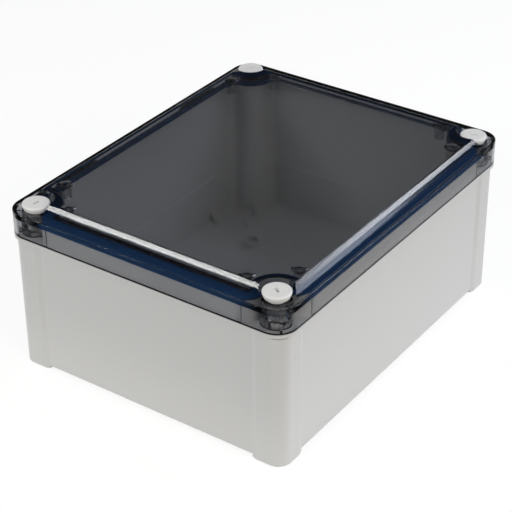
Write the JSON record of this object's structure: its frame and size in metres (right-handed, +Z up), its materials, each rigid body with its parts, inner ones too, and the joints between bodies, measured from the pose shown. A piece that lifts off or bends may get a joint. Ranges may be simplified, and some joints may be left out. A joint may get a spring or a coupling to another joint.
{
  "type": "hinged polycarbonate enclosure",
  "caption": "Wall-mounting plastic enclosure: deep grey box with a smoked see-through hinged cover, raised window, sealing gasket and quarter-turn corner screws",
  "frame": {"origin": "Centre of the four wall fixing holes, on the underside of the feet (Z = 0)", "axes": "+Z up, away from the wall; +Y along the long side; the hinges are on the -X side"},
  "size_m": [0.203, 0.241, 0.1095],
  "materials": {
    "base_grey": "light grey moulded polycarbonate, fine satin texture",
    "smoked_clear": "smoked transparent polycarbonate, polished",
    "gasket_navy": "dark blue foamed polyurethane, matt",
    "screw_light_grey": "light grey polyamide, satin",
    "seal_black": "black elastomer",
    "hinge_grey": "grey glass-filled polyamide",
    "steel_bright": "stainless steel"
  },
  "bodies": {
    "base": {"base": "base_grey", "base_hinge_leaf_1": "hinge_grey", "base_hinge_leaf_2": "hinge_grey", "hinge_pin_1": "steel_bright", "hinge_pin_2": "steel_bright", "base_hinge_screws_1": "steel_bright", "base_hinge_screws_2": "steel_bright"},
    "cover": {"cover": "smoked_clear", "gasket": "gasket_navy", "screw_seal_1": "seal_black", "screw_seal_2": "seal_black", "screw_seal_3": "seal_black", "screw_seal_4": "seal_black", "cover_hinge_leaf_1": "hinge_grey", "cover_hinge_leaf_2": "hinge_grey", "cover_hinge_screws_1": "steel_bright", "cover_hinge_screws_2": "steel_bright"},
    "screw_1": {"cover_screw_1": "screw_light_grey", "screw_clip_1": "steel_bright"},
    "screw_2": {"cover_screw_2": "screw_light_grey", "screw_clip_2": "steel_bright"},
    "screw_3": {"cover_screw_3": "screw_light_grey", "screw_clip_3": "steel_bright"},
    "screw_4": {"cover_screw_4": "screw_light_grey", "screw_clip_4": "steel_bright"}
  },
  "joints": [
    {"name": "cover_hinge", "type": "hinge", "parent": "base", "child": "cover", "pos_m": [-0.1025, 0, 0.085], "axis": [0, -1, 0], "range_deg": [0, 170]},
    {"name": "screw_turn_1", "type": "hinge", "parent": "cover", "child": "screw_1", "pos_m": [0.0835, -0.107, 0.1034], "axis": [0, 0, 1], "range_deg": [0, 90]},
    {"name": "screw_turn_2", "type": "hinge", "parent": "cover", "child": "screw_2", "pos_m": [-0.0835, -0.107, 0.1034], "axis": [0, 0, 1], "range_deg": [0, 90]},
    {"name": "screw_turn_3", "type": "hinge", "parent": "cover", "child": "screw_3", "pos_m": [-0.0835, 0.107, 0.1034], "axis": [0, 0, 1], "range_deg": [0, 90]},
    {"name": "screw_turn_4", "type": "hinge", "parent": "cover", "child": "screw_4", "pos_m": [0.0835, 0.107, 0.1034], "axis": [0, 0, 1], "range_deg": [0, 90]}
  ]
}
